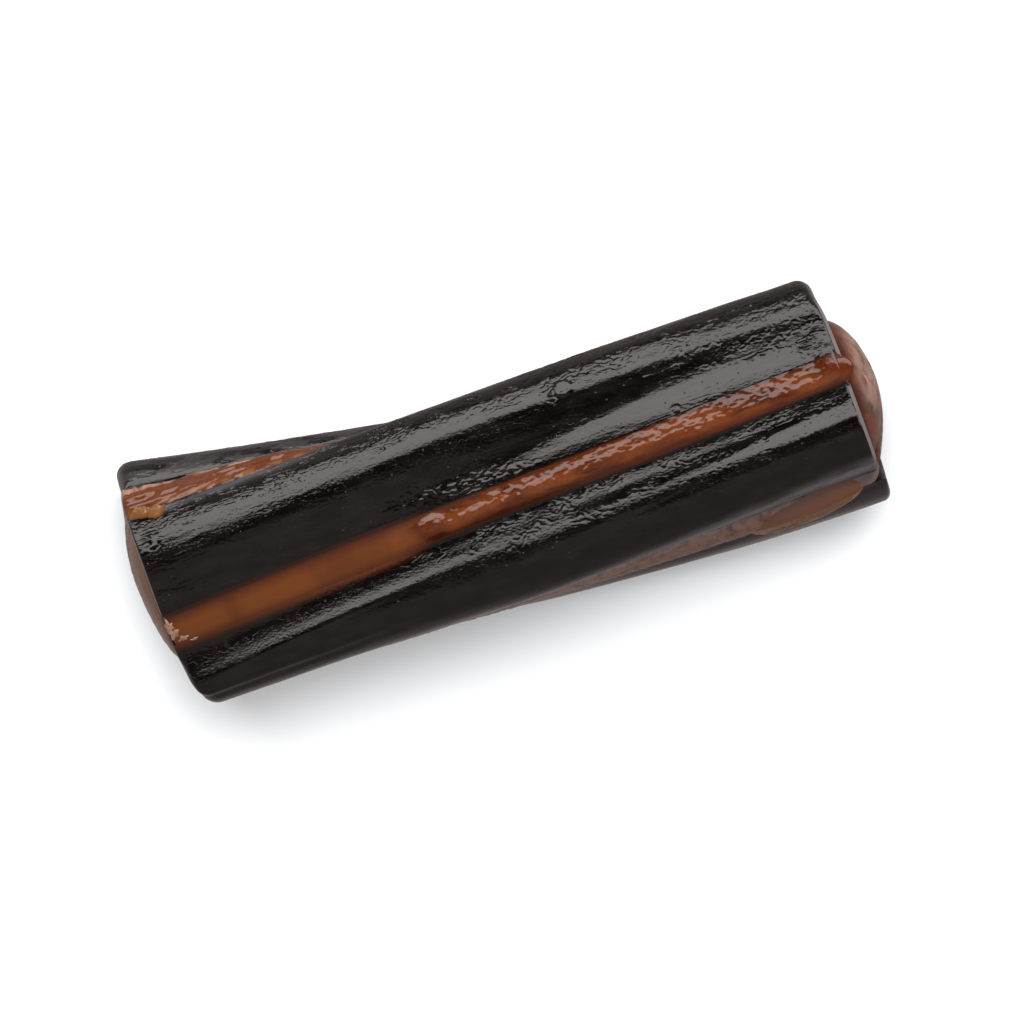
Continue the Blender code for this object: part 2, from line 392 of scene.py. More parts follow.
def stripHazeAndReflection(name, x, share):
    if name == "licorice_upper":
        edge = haze["farEdge"]
        return edge["strength"] * (1 - smooth(*edge["share"], share)) * (1 - smooth(*edge["until"], x))
    if name != "licorice_front":
        return np.zeros(x.shape)
    flank, streak, end = haze["flank"], haze["streak"], haze["leftEnd"]
    hazeAndReflectionShare = flank["strength"] * smooth(*flank["share"], share) * smooth(*flank["x"], x)
    line = streak["strength"] * hump(share, streak["at"], streak["wide"]) * smooth(*streak["x"], x)
    patch = end["strength"] * smooth(*end["share"], share) * (1 - smooth(*end["until"], x))
    return hazeAndReflectionShare + line + patch


# How the strips' ends are rounded, in mm: at the sides and on top, less below and near the grooves.
# The cut faces show pale from a share of the rounding on: partly a paler, rougher cut surface and partly a
# painted highlight on the rounded edge.
rim = {
    "side": 1.05,
    "top": 0.16,
    "below": 0.5,
    "proud": 1.2,
    "slantFrom": (0.07, 0.35),
    "paleFrom": 0.4,
    "steps": 8,
    "capSteps": 12,
    "wallSteps": 4,
    "crowding": 0.45,
}


def cutRows(name, share, end):
    # The rows of points round a cut's rounded edge, from the cut face out: their x and how far in.
    strip = strips[name]
    u = np.full(len(share), stick["cuts"][end] / stick["halfLength"])
    angle, radius = stripFace(name, share, u)
    lean = np.radians(angle + along(stick["twist"], u))
    sideways = np.sin(lean) ** 4 + np.where(np.cos(lean) < 0, rim["below"] * np.cos(lean) ** 4, 0.0)
    proud = np.clip((radius - radius[0]) / rim["proud"], 0.0, 1.0)
    side, slant = rim["side"], 0.0
    if end == "left":
        side = strip.get("roundLeft", side)
        slant = strip.get("slantLeft", 0.0) * smooth(*rim["slantFrom"], share)
    rounding = rim["top"] + (side - rim["top"]) * sideways * proud
    rows = []
    for bend in np.linspace(math.pi / 2, 0.0, rim["steps"]):
        inset = rounding * (1 - math.cos(bend))
        setback = rounding * (1 - math.sin(bend)) - strip["longer"][end] + strip["lean"][end] + slant

        def outline(u, inset=inset):
            angle, radius = stripFace(name, share, u)
            return angle, radius - inset

        rows.append((atCut(end, outline, setback), inset))
    return rows


def stripGrids(name):
    strip = strips[name]
    even = np.linspace(0.0, 1.0, strip["across"])
    crowded = (np.sin(np.linspace(-math.pi / 2, math.pi / 2, strip["across"])) + 1) / 2
    share = rim["crowding"] * crowded + (1 - rim["crowding"]) * even
    left, right = cutRows(name, share, "left"), cutRows(name, share, "right")
    first, last = left[-1][0], right[-1][0]
    steps = np.linspace(0.0, 1.0, strip["rings"])[1:-1]
    rows = left + [(first + (last - first) * step, np.zeros(len(share))) for step in steps] + right[::-1]
    x, inset = np.array([row[0] for row in rows]), np.array([row[1] for row in rows])
    shares = np.broadcast_to(share, x.shape)
    angle, radius = stripFace(name, shares, x / stick["halfLength"])
    _, y = place(x, angle, radius)
    radius = radius + licoriceRelief(name, x, y, shares) - inset
    face, _ = place(x, angle, radius)
    grids = [face]
    onRim = np.zeros(x.shape[0])
    onRim[: rim["steps"]] = np.linspace(1.0, 0.0, rim["steps"])
    onRim[-rim["steps"] :] = np.linspace(0.0, 1.0, rim["steps"])
    marks = {
        "stain": [stripStain(name, x, shares)],
        "cutFace": [smooth(rim["paleFrom"], 1.0, onRim)[:, None]],
        "haze": [stripHazeAndReflection(name, x, shares)],
    }
    for row, end in ((0, "left"), (-1, "right")):
        down = np.linspace(0.0, 1.0, rim["capSteps"])[:, None]
        capRadius = radius[row] + (stick["stripBase"] - radius[row]) * down
        here = x[row] + 0 * down
        sideways = place(here, angle[row], capRadius)[1] - place(here, angle[row], radius[row])[1]
        outward = (-1.0 if end == "left" else 1.0) * strip["lean"][end] * smooth(0.0, 1.0, down)
        capX = here + stick["cutSkew"] * sideways + outward
        cap, _ = place(capX, angle[row] + 0 * down, capRadius)
        grids.append(cap if row == 0 else cap[::-1])
    for column in (0, -1):
        down = np.linspace(0.0, 1.0, rim["wallSteps"])[None, :]
        wallRadius = radius[:, column, None] + (stick["stripBase"] - radius[:, column, None]) * down
        wall, _ = place(x[:, column, None] + 0 * down, angle[:, column, None] + 0 * down, wallRadius)
        grids.append(wall)
    marks["stain"] += [0.0, 0.0, 0.0, 0.0]
    marks["cutFace"] += [1.0, 1.0, 0.0, 0.0]
    marks["haze"] += [0.0, 0.0, 0.0, 0.0]
    return grids, marks


class Wire:
    # One socket of a node tree, with the maths that shaders need.
    def __init__(self, tree, socket=None):
        self.tree = tree
        self.socket = socket

    def node(self, kind, settings, sockets, out=0):
        made = self.tree.nodes.new(kind)
        for key, value in settings.items():
            setattr(made, key, value)
        for key, value in sockets.items():
            if isinstance(value, Wire):
                self.tree.links.new(value.socket, made.inputs[key])
            else:
                made.inputs[key].default_value = value
        return Wire(self.tree, made.outputs[out])

    def maths(self, operation, first, second):
        wires = [value for value in (first, second) if isinstance(value, Wire)]
        if any(wire.socket.type in ("VECTOR", "RGBA") for wire in wires):
            pair = [v if isinstance(v, (Wire, tuple)) else (v, v, v) for v in (first, second)]
            return self.node("ShaderNodeVectorMath", {"operation": operation}, {0: pair[0], 1: pair[1]})
        return self.node("ShaderNodeMath", {"operation": operation}, {0: first, 1: second})

    def __add__(self, other):
        return self.maths("ADD", self, other)

    def __radd__(self, other):
        return self.maths("ADD", other, self)

    def __sub__(self, other):
        return self.maths("SUBTRACT", self, other)

    def __rsub__(self, other):
        return self.maths("SUBTRACT", other, self)

    def __mul__(self, other):
        return self.maths("MULTIPLY", self, other)

    def __rmul__(self, other):
        return self.maths("MULTIPLY", other, self)

    def between(self, low, high):
        ease = {"interpolation_type": "SMOOTHSTEP"}
        return self.node("ShaderNodeMapRange", ease, {"Value": self, "From Min": low, "From Max": high})

    def mix(self, first, second):
        return self.node("ShaderNodeMix", {"data_type": "RGBA"}, {0: self, 6: first, 7: second}, 2)


def newLook(name):
    look = bpy.data.materials.new(name)
    look.use_nodes = True
    tree = look.node_tree
    tree.nodes.clear()
    return look, Wire(tree)


def finishLook(start, shader):
    output = start.tree.nodes.new("ShaderNodeOutputMaterial")
    start.tree.links.new(shader.socket, output.inputs["Surface"])


def noise(spot, texture):
    return spot.node("ShaderNodeTexNoise", {}, {"Vector": spot, **texture})


def pointMark(start, name):
    return start.node("ShaderNodeAttribute", {"attribute_name": name}, {}, "Fac")


def glossyCoat(start, body, gloss, height):
    # The shader of both sweets: a colour, its gloss and a fine relief in mm.
    bump = start.node("ShaderNodeBump", {}, {"Strength": 1.0, "Distance": mm, "Height": height})
    sockets = {"Base Color": body, "Roughness": gloss, "Normal": bump, "IOR": 1.5}
    return start.node("ShaderNodeBsdfPrincipled", {}, sockets)


caramelLook = {
    "amber": (0.083, 0.0215, 0.0021, 1.0),
    "amberDark": (0.062, 0.015, 0.0015, 1.0),
    "rich": (0.074, 0.0158, 0.0012, 1.0),
    "richDark": (0.03, 0.0048, 0.0008, 1.0),
    # The edge and rust colours darken the caramel's sides: partly a thin licorice film, partly painted
    # shade.
    "edge": (0.003, 0.001, 0.0006, 1.0),
    "rust": (0.03, 0.005, 0.0008, 1.0),
    "red": (0.056, 0.0088, 0.0006, 1.0),
    # The pale colour is for the bloom and sheen: partly real bloom and pale caramel, partly painted
    # highlights and reflections.
    "pale": (0.235, 0.14, 0.108, 1.0),
    "gold": (0.115, 0.046, 0.013, 1.0),
    # The mauve tint is partly a bloom and partly a painted reflection of the floor.
    "dusk": (0.064, 0.046, 0.05, 1.0),
    "duskPatch": 0.6,
    "gloss": 0.13,
    "glossRange": 0.06,
    "bloomAndSheenGloss": 0.26,
    "grain": 0.022,
    "clearGrain": 0.25,
    "swirl": {"Scale": 600.0, "Detail": 5.0, "Distortion": 0.6},
    "swirlDrawn": (0.35, 1.0, 1.0),
    "fine": {"Scale": 4300.0, "Detail": 2.5},
    "fineDrawn": (0.8, 1.0, 1.0),
    "hairs": {"Scale": 3400.0, "Detail": 3.0},
    "hairsDrawn": (0.5, 0.28, 0.45),
    "cloud": {"Scale": 330.0, "Detail": 3.0},
    "cloudDrawn": (1.0, 0.3, 0.3),
}

licoriceLook = {
    "deep": (0.0012, 0.0009, 0.0008, 1.0),
    "pale": (0.0034, 0.0026, 0.0023, 1.0),
    # The cut colour is partly the paler cut surface and partly a painted highlight on the rounded ends.
    "cut": (0.12, 0.11, 0.105, 1.0),
    # The grey haze colour is partly a bloom and partly a painted reflection of the floor.
    "haze": (0.115, 0.108, 0.126, 1.0),
    "matt": (0.015, 0.013, 0.0137, 1.0),
    "gloss": 0.1,
    "glossRange": 0.06,
    "mattGloss": 0.2,
    "cutGloss": 0.3,
    "hazeGloss": 0.5,
    "grain": 0.016,
    "pitDeep": 0.022,
    "pitEdge": (0.05, 0.17),
    "pitPick": (0.64, 0.66),
    "crackDeep": 0.003,
    "drawn": (0.3, 1.0, 1.0),
    "mottle": {"Scale": 1400.0, "Detail": 4.0},
    "patches": {"Scale": 420.0, "Detail": 2.0},
    "fine": {"Scale": 6500.0, "Detail": 2.5},
    "fineDrawn": (0.75, 1.0, 1.0),
    "pits": {"Scale": 2100.0},
    "cracks": {"Scale": 1500.0, "Detail": 1.0, "Distortion": 0.8},
}


def fadeIn(edge, body):
    # From the near black of a strip's edge through rust to the caramel's own colour. On the caramel this
    # darkening by the walls is partly a thin film of licorice over it and partly painted shade in the
    # groove's corners.
    rust = edge.between(0.0, 0.45).mix(caramelLook["edge"], caramelLook["rust"])
    return edge.between(0.15, 1.0).mix(rust, body)


def makeLicorice(name, matt):
    values = licoriceLook
    look, start = newLook(name)
    spot = start.node("ShaderNodeTexCoord", {}, {}, "Object")
    drawn = spot * values["drawn"]
    mottle = noise(drawn, values["mottle"])
    patch = noise(drawn, values["patches"])
    fine = noise(spot * values["fineDrawn"], values["fine"])
    cell = {"Vector": spot, **values["pits"]}
    pitAway = start.node("ShaderNodeTexVoronoi", {}, cell, "Distance")
    pitColour = start.node("ShaderNodeTexVoronoi", {}, cell, "Color")
    pitPick = start.node("ShaderNodeSeparateColor", {}, {"Color": pitColour})
    pits = (1 - pitAway.between(*values["pitEdge"])) * pitPick.between(*values["pitPick"])
    line = noise(spot, values["cracks"])
    cracks = line.between(0.47, 0.5) * (1 - line.between(0.5, 0.53)) * patch.between(0.46, 0.58)
    stain = pointMark(start, "stain")
    cut = pointMark(start, "cutFace")
    hazeAndReflectionShare = pointMark(start, "haze")
    body = mottle.between(0.35, 0.7).mix(values["deep"], values["pale"])
    gloss = values["gloss"] + mottle * values["glossRange"]
    if matt:
        worn = mottle.between(0.42, 0.58)
        body = worn.mix(body, values["matt"])
        gloss = gloss + worn * values["mattGloss"]
    body = stain.between(0.0, 0.1).mix(body, fadeIn(stain, caramelLook["amber"]))
    # Partly painted reflection: the grey haze tint also stands in for the floor's reflection.
    body = (hazeAndReflectionShare * mottle.between(0.15, 0.6)).mix(body, values["haze"])
    # Partly painted highlight: the pale cut faces also stand in for the light their rounded edges catch.
    bare = cut * (1 - stain.between(0.0, 0.3))
    body = bare.mix(body, values["cut"])
    gloss = gloss + bare * values["cutGloss"] + hazeAndReflectionShare * values["hazeGloss"]
    height = fine * values["grain"] - pits * values["pitDeep"] - cracks * values["crackDeep"]
    finishLook(start, glossyCoat(start, body, gloss, height))
    return look


def makeCaramel():
    values = caramelLook
    look, start = newLook("caramel")
    spot = start.node("ShaderNodeTexCoord", {}, {}, "Object")
    swirl = noise(spot * values["swirlDrawn"], values["swirl"])
    fine = noise(spot * values["fineDrawn"], values["fine"])
    hairs = noise(spot * values["hairsDrawn"], values["hairs"])
    cloud = noise(spot * values["cloudDrawn"], values["cloud"])
    deep, gold, edge = (pointMark(start, name) for name in ("deep", "gold", "edge"))
    bloomAndSheen, red, dusk = (pointMark(start, name) for name in ("bloomAndSheen", "red", "dusk"))
    clear = cloud.between(0.36, 0.58).mix(values["amberDark"], values["amber"])
    rich = swirl.between(0.36, 0.6).mix(values["richDark"], values["rich"])
    body = deep.mix(clear, rich)
    body = red.mix(body, values["red"])
    body = gold.mix(body, values["gold"])
    # Partly painted shade: the caramel darkens towards the strips' walls.
    body = fadeIn(edge, body)
    # Partly painted sheen: the pale bloom with its hair lines also paints highlights and reflections.
    body = (bloomAndSheen * hairs.between(0.22, 0.6)).mix(body, values["pale"])
    patchy = 1 - values["duskPatch"] + swirl.between(0.3, 0.6) * values["duskPatch"]
    # Partly painted reflection: the mauve tint beside the front strip, in patches.
    body = (dusk * patchy).mix(body, values["dusk"])
    gloss = values["gloss"] + swirl * values["glossRange"] + bloomAndSheen * values["bloomAndSheenGloss"]
    height = fine * (values["clearGrain"] + deep * (1 - values["clearGrain"])) * values["grain"]
    finishLook(start, glossyCoat(start, body, gloss, height))
    return look


licorice = makeLicorice("licorice", False)
wornLicorice = makeLicorice("licorice_worn", True)
caramel = makeCaramel()
print("looks made")

for name in strips:
    grids, marks = stripGrids(name)
    look = wornLicorice if name == "licorice_back" else licorice
    piece = makePiece("dressed_" + name, grids, look, marks)
    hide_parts(name)
    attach(piece, "root")
    print(name, "made with", len(piece.data.polygons), "faces")

# The caramel in a groove. low and high say how far it lies under the strips' edges on its two sides,
# grain how strong its grain is and fade how wide its two dark edges are, each with a value for the
# stick's left and one for the rest. The dark edges are partly a thin film of licorice and partly
# painted shade in the groove's corners. turn is where low and high change over. start says how far
# the two edges have faded at the walls, at the left, and ends how far from each cut the caramel sinks.
plainGroove = {
    "swell": (0.15, 0.15, 0.15),
    "turn": (-9.0, -4.0),
    "low": (0.0, 0.0),
    "high": (0.0, 0.0),
    "start": (0.0, 0.0),
    "red": 0.0,
    "gold": 0.0,
    "bloomAndSheen": 0.0,
}

belowGroove = {
    **plainGroove,
    "low": (0.1, 0.1),
    "high": (0.1, 0.1),
    "grain": (0.6, 0.6),
    "fade": ((0.3, 0.3), (0.3, 0.3)),
    "ends": (1.6, 1.6),
}

# Pulled and folded caramel, with painted highlight streaks along its two sides.
farGroove = {
    **plainGroove,
    "turn": (-14.5, -8.0),
    "low": (0.0, 0.9),
    "high": (0.05, 0.8),
    "grain": (1.2, 1.2),
    "fade": ((0.2, 0.2), (0.3, 0.3)),
    "ends": (0.5, 2.4),
    "red": 0.6,
    "gold": 0.1,
    "folds": (3.2, 0.42, 0.17),
    "highlightStreaks": {"from": (0.5, 0.85), "long": 0.9, "across": 3, "soft": (-0.2, 0.4), "seed": 67},
    "highlightStreakReach": (-0.5, 0.0),
    "highlightStreakGold": 0.8,
    "highlightStreakSheen": 0.7,
}

# Clear and flat at the left, crinkled at the right, with red blisters and a lifted right end.
topGroove = {
    **plainGroove,
    "swell": (0.0, 0.0, 0.34, 0.2, 0.06),
    "low": (0.0, 0.08),
    "grain": (0.1, 1.6),
    "fade": ((1.3, 0.5), (1.2, 0.65)),
    "start": (0.2, 0.62),
    "ends": (0.3, 0.5),
    "endLift": {"high": 0.32, "x": (22.2, 23.2)},
    "calm": {"at": 0.4, "wide": 0.32, "x": (22.4, 23.2)},
    "blisters": [
        {"at": (-5.4, -0.85), "size": (0.95, 0.72), "high": 0.26, "red": 0.5},
        {"at": (13.2, 0.5), "size": (0.5, 0.7), "high": 0.14, "red": 0.6},
        {"at": (19.5, 1.2), "size": (0.6, 0.4), "high": 0.1, "red": 0.3},
        {"at": (24.1, 1.95), "size": (0.95, 0.88), "high": 0.08, "red": 0.75},
    ],
}

# A mauve and pale bloom beside the front strip, partly a painted reflection of the floor, and orange
# towards the under strip near the right end.
nearGroove = {
    **plainGroove,
    "high": (0.0, -0.1),
    "grain": (0.4, 0.7),
    "fade": ((0.7, 0.7), (0.1, 0.1)),
    "ends": (1.8, 1.1),
    "gold": 0.2,
    "bloomAndSheen": 0.75,
    "orange": {"gold": 0.25, "x": (15.5, 18.5), "until": (21.5, 23.5), "share": (0.2, 0.6)},
    "dusk": {"least": 0.35, "x": (16.0, 21.0), "share": (0.35, 0.9)},
}

caramelShape = {
    "grooves": [belowGroove, farGroove, topGroove, nearGroove],
    "tuck": 1.5,
    "rings": 440,
    "inGroove": 36,
    "underStrip": 6,
    "swellFrom": (0.08, 0.62),
    "swellUntil": (0.7, 1.0),
    "endPower": 2.4,
    "waves": [(5.0, 1.4, 0.05), (1.8, 0.6, 0.03)],
    "grain": [(0.55, 0.5, 0.045), (0.25, 0.22, 0.03)],
    "grainTurn": (-9.0, -4.0),
    "seed": 71,
    "seedStep": 5,
    "foldSeed": 41,
}

# The caramel's bulge past each cut, which leans, and is pale over a share of the way in: partly a bloom on
# its satin surface and partly a painted reflection.
bulges = {
    "left": {
        "height": 1.05, "shift": 0.5, "power": 0.92, "lean": -0.28,
        "red": 0.15, "gold": 0.45, "bloomAndSheen": 0.0, "from": (0.6, 0.95),
    },
    "right": {
        "height": 1.9, "shift": 1.0, "power": 0.8, "lean": 0.22,
        "red": 0.1, "gold": 0.0, "bloomAndSheen": 0.95, "from": (0.02, 0.32),
    },
}

bulgeSkin = {
    "steps": 36,
    "swellFrom": 0.8,
    "swellPower": 1.2,
    "reliefPower": 6,
    "reliefSeed": 83,
    # The edge values darken the dome next to the strips' cut ends: painted shade.
    "edge": 0.3,
    "edgeWide": 0.08,
    # cover, patch, bareBelow and bare share out the dome's pale bloom and painted reflection: in patches,
    # and much less on its lower side, away from the light.
    "cover": 0.85,
    "patch": {"strength": 0.25, "cell": (1.1, 1.1), "seed": 19},
    "bareBelow": (-0.3, -2.4),
    "bare": 0.9,
}


def caramelLevel(index, share, u, x):
    # How far from the axis the caramel lies at a share of the way across a groove.
    names = list(strips)
    before = along(strips[names[index - 1]]["after"], u)
    after = along(strips[names[index]]["before"], u)
    values = caramelShape["grooves"][index]
    right = smooth(*values["turn"], x)
    low = values["low"][0] + (values["low"][1] - values["low"][0]) * right
    high = values["high"][0] + (values["high"][1] - values["high"][0]) * right
    inside = np.clip(share, 0.0, 1.0)
    bulging = smooth(*caramelShape["swellFrom"], inside)
    bulging = bulging * (1 - smooth(*caramelShape["swellUntil"], inside))
    level = (before - low) * (1 - inside) + (after - high) * inside + along(values["swell"], u) * bulging
    if "endLift" in values:
        lift = values["endLift"]
        level = level + lift["high"] * (1 - inside) * smooth(*lift["x"], x)
    return level


def caramelRelief(index, x, across, seed):
    values = caramelShape["grooves"][index]
    left, right = values["grain"]
    rough = left + (right - left) * smooth(*caramelShape["grainTurn"], x)
    height = np.zeros(np.shape(x + across))
    if "folds" in values:
        long, wide, high = values["folds"]
        height = high * ripple(x / long, across / wide, seed + caramelShape["foldSeed"])
    for number, (long, wide, high) in enumerate(caramelShape["waves"] + caramelShape["grain"]):
        waveSeed = seed + caramelShape["seedStep"] * number
        height = height + rough * high * ripple(x / long, across / wide, waveSeed)
    return height


def coreLines():
    # The core's lengthwise lines of points: the groove, the kind of line and its share of the way.
    lines = []
    for index in range(len(grooves)):
        lines.append((index, "wall", 0.0))
        lines += [(index, "ridge", share) for share in np.linspace(0.0, 1.0, caramelShape["inGroove"])]
        lines.append((index, "wall", 1.0))
        steps = np.linspace(0.0, 1.0, caramelShape["underStrip"] + 2)[1:-1]
        lines += [(index, "body", share) for share in steps]
    lines.append((0, "wall", 0.0))
    return lines


lines = coreLines()


def lineAngle(number, here):
    # The angle of one line of points, and its share of the way across its groove.
    index, kind, share = lines[number]
    tuck = caramelShape["tuck"]
    low = along(grooves[index]["from"], here) - tuck
    high = along(grooves[index]["to"], here) + tuck
    following = grooves[(index + 1) % len(grooves)]
    reach = along(following["from"], here) - tuck + (360.0 if index == len(grooves) - 1 else 0.0)
    angle = high + (reach - high) * share if kind == "body" else low + (high - low) * share
    inner = (angle - low - tuck) / (high - low - 2 * tuck)
    return angle + (360.0 if number == len(lines) - 1 else 0.0), inner


def coreOutline(u, swell=1.0):
    # Angles and distances from the axis of all the lines. A swell of 0 leaves the round body alone.
    angles, radii = [], []
    for number, (index, kind, _) in enumerate(lines):
        here = u[..., number]
        angle, inner = lineAngle(number, here)
        radius = np.full(here.shape, stick["bodyRadius"])
        if kind == "ridge":
            x = here * stick["halfLength"]
            level = caramelLevel(index, inner, here, x)
            _, y = place(x, angle, level)
            leftEnd, rightEnd = caramelShape["grooves"][index]["ends"]
            skew = stick["cutSkew"] * y
            inLeft = np.clip(1 - (x - stick["cuts"]["left"] - skew) / leftEnd, 0.0, 1.0)
            inRight = np.clip(1 - (stick["cuts"]["right"] + skew - x) / rightEnd, 0.0, 1.0)
            power = caramelShape["endPower"]
            kept = np.sqrt(1 - inLeft**power) * np.sqrt(1 - inRight**power)
            radius = radius + (level - radius) * swell * kept
        angles.append(angle)
        radii.append(radius)
    return np.stack(angles, -1), np.stack(radii, -1)


def ridgeLine(index, x, y, inner, wide):
    # The relief of one line of points in a groove of that width, and the marks that colour it.
    values = caramelShape["grooves"][index]
    inside = np.clip(inner, 0.0, 1.0)
    relief = caramelRelief(index, x, inner * wide, caramelShape["seed"] + index)
    crisp = smooth(*soak["until"], x)
    before, after = [near + (far - near) * crisp for near, far in values["fade"]]
    start = [reach * (1 - crisp) for reach in values["start"]]
    # Partly painted shade: edge darkens the caramel towards both walls, where a thin film of licorice also
    # lies.
    edge = np.minimum((inside * wide + start[0]) / before, 1.0)
    edge = edge * np.minimum(((1 - inside) * wide + start[1]) / after, 1.0)
    marks = {"edge": edge, "deep": 1.0, "dusk": 0.0, "red": values["red"], "gold": values["gold"]}
    # The pale bloom beside the front strip is partly a painted reflection of the floor.
    marks["bloomAndSheen"] = values["bloomAndSheen"] * (1 - inside)
    # Painted highlight: pale gold streaks along both sides, with sheen on the upper one.
    if "highlightStreaks" in values:
        highlightStreaks = values["highlightStreaks"]
        reach = np.where(inside < 0.5, *values["highlightStreakReach"])
        waves = ripple(x / highlightStreaks["long"], inside * highlightStreaks["across"], highlightStreaks["seed"])
        pale = smooth(*highlightStreaks["from"], np.abs(2 * inside - 1))
        pale = pale * smooth(reach + highlightStreaks["soft"][0], reach + highlightStreaks["soft"][1], waves)
        marks["red"] = values["red"] * (1 - pale)
        marks["gold"] = values["gold"] + values["highlightStreakGold"] * pale
        marks["bloomAndSheen"] = marks["bloomAndSheen"] + values["highlightStreakSheen"] * pale * (inside < 0.5)
    if "blisters" in values:
        calm = hump(inside, values["calm"]["at"], values["calm"]["wide"])
        calm = calm * (1 - smooth(*values["calm"]["x"], x))
        relief = relief * (1 - crisp + crisp * calm)
        marks["deep"] = crisp
        for blister in values["blisters"]:
            offX = (x - blister["at"][0]) / blister["size"][0]
            offY = (y - blister["at"][1]) / blister["size"][1]
            dome = np.exp(-((offX**2 + offY**2) ** 2))
            relief = relief + dome * blister["high"]
            marks["red"] = np.maximum(marks["red"], blister["red"] * dome)
    if "orange" in values:
        orange, dusk = values["orange"], values["dusk"]
        glow = smooth(*orange["x"], x) * (1 - smooth(*orange["until"], x))
        glow = glow * smooth(*orange["share"], inside)
        marks["gold"] = marks["gold"] + orange["gold"] * glow
        marks["bloomAndSheen"] = marks["bloomAndSheen"] * (1 - glow)
        # Partly a painted reflection of the floor: the mauve tint, growing to the right beside the front
        # strip.
        growing = dusk["least"] + (1 - dusk["least"]) * smooth(*dusk["x"], x)
        marks["dusk"] = growing * (1 - smooth(*dusk["share"], inside))
    return relief, marks


def bulgeGrid(end, cut):
    # The dome past a cut, as rings from its rim to its middle, and the marks that colour it.
    bulge = bulges[end]
    outward = -1.0 if end == "left" else 1.0
    flat, _ = place(cut, *coreOutline(cut / stick["halfLength"], 0.0))
    middle = flat[:-1].mean(axis=0) + bulge["shift"] * np.array([stick["cutSkew"], 1.0, 0.0])
    fractions = np.sin(np.linspace(math.pi / 2, 0.0, bulgeSkin["steps"]))
    power = bulge["power"] - bulge["lean"] * (flat[:, 1] - middle[1]) / stick["bodyRadius"]
    rings = []
    for fraction in fractions:
        swell = float(smooth(bulgeSkin["swellFrom"], 1.0, fraction)) ** bulgeSkin["swellPower"]
        rimNow, _ = place(cut, *coreOutline(cut / stick["halfLength"], swell))
        ring = middle + (rimNow - middle) * fraction
        ring[:, 0] += outward * bulge["height"] * (1 - fraction**2) ** power
        rings.append(ring)
    dome = np.array(rings)
    relief = caramelRelief(0, dome[..., 1], dome[..., 2], bulgeSkin["reliefSeed"])
    dome[..., 0] += outward * relief * (1 - fractions[:, None] ** bulgeSkin["reliefPower"])
    inward = (1 - fractions)[:, None]
    # The pale bloom and painted reflection cover the dome in patches, much less on its lower side.
    patch = bulgeSkin["patch"]
    cover = rippleIn(patch, dome[..., 1], dome[..., 2], 0)
    cover = bulgeSkin["cover"] + patch["strength"] * cover
    cover = cover * (1 - bulgeSkin["bare"] * smooth(*bulgeSkin["bareBelow"], dome[..., 1]))
    marks = {"deep": 1.0, "dusk": 0.0, "red": bulge["red"], "gold": bulge["gold"]}
    # Painted shade: the dome darkens where it meets the strips' cut ends.
    pale = smooth(0.0, bulgeSkin["edgeWide"], inward)
    marks["edge"] = bulgeSkin["edge"] + (1 - bulgeSkin["edge"]) * pale
    marks["bloomAndSheen"] = bulge["bloomAndSheen"] * cover * smooth(*bulge["from"], inward)
    return dome, marks


def caramelGrids():
    flush = np.zeros(len(lines))
    left, right = atCut("left", coreOutline, flush), atCut("right", coreOutline, flush)
    x = left + (right - left) * np.linspace(0.0, 1.0, caramelShape["rings"])[:, None]
    u = x / stick["halfLength"]
    angle, radius = coreOutline(u)
    _, y = place(x, angle, radius)
    onBody = {"edge": 1.0, "bloomAndSheen": 0.0, "red": 0.0, "deep": 1.0, "gold": 0.0, "dusk": 0.0}
    marks = {mark: [np.full(x.shape, value)] for mark, value in onBody.items()}
    for number, (index, kind, _) in enumerate(lines):
        if kind != "ridge":
            continue
        here = u[:, number]
        _, inner = lineAngle(number, here)
        turn = along(grooves[index]["to"], here) - along(grooves[index]["from"], here)
        wide = np.radians(turn) * radius[:, number]
        relief, onLine = ridgeLine(index, x[:, number], y[:, number], inner, wide)
        radius[:, number] += relief
        for mark, values in onLine.items():
            marks[mark][0][:, number] = values
    body, _ = place(x, angle, radius)
    grids = [body]
    for end, cut in (("left", left), ("right", right)):
        dome, onDome = bulgeGrid(end, cut)
        grids.append(dome)
        for mark, values in onDome.items():
            marks[mark].append(values)
    return grids, marks


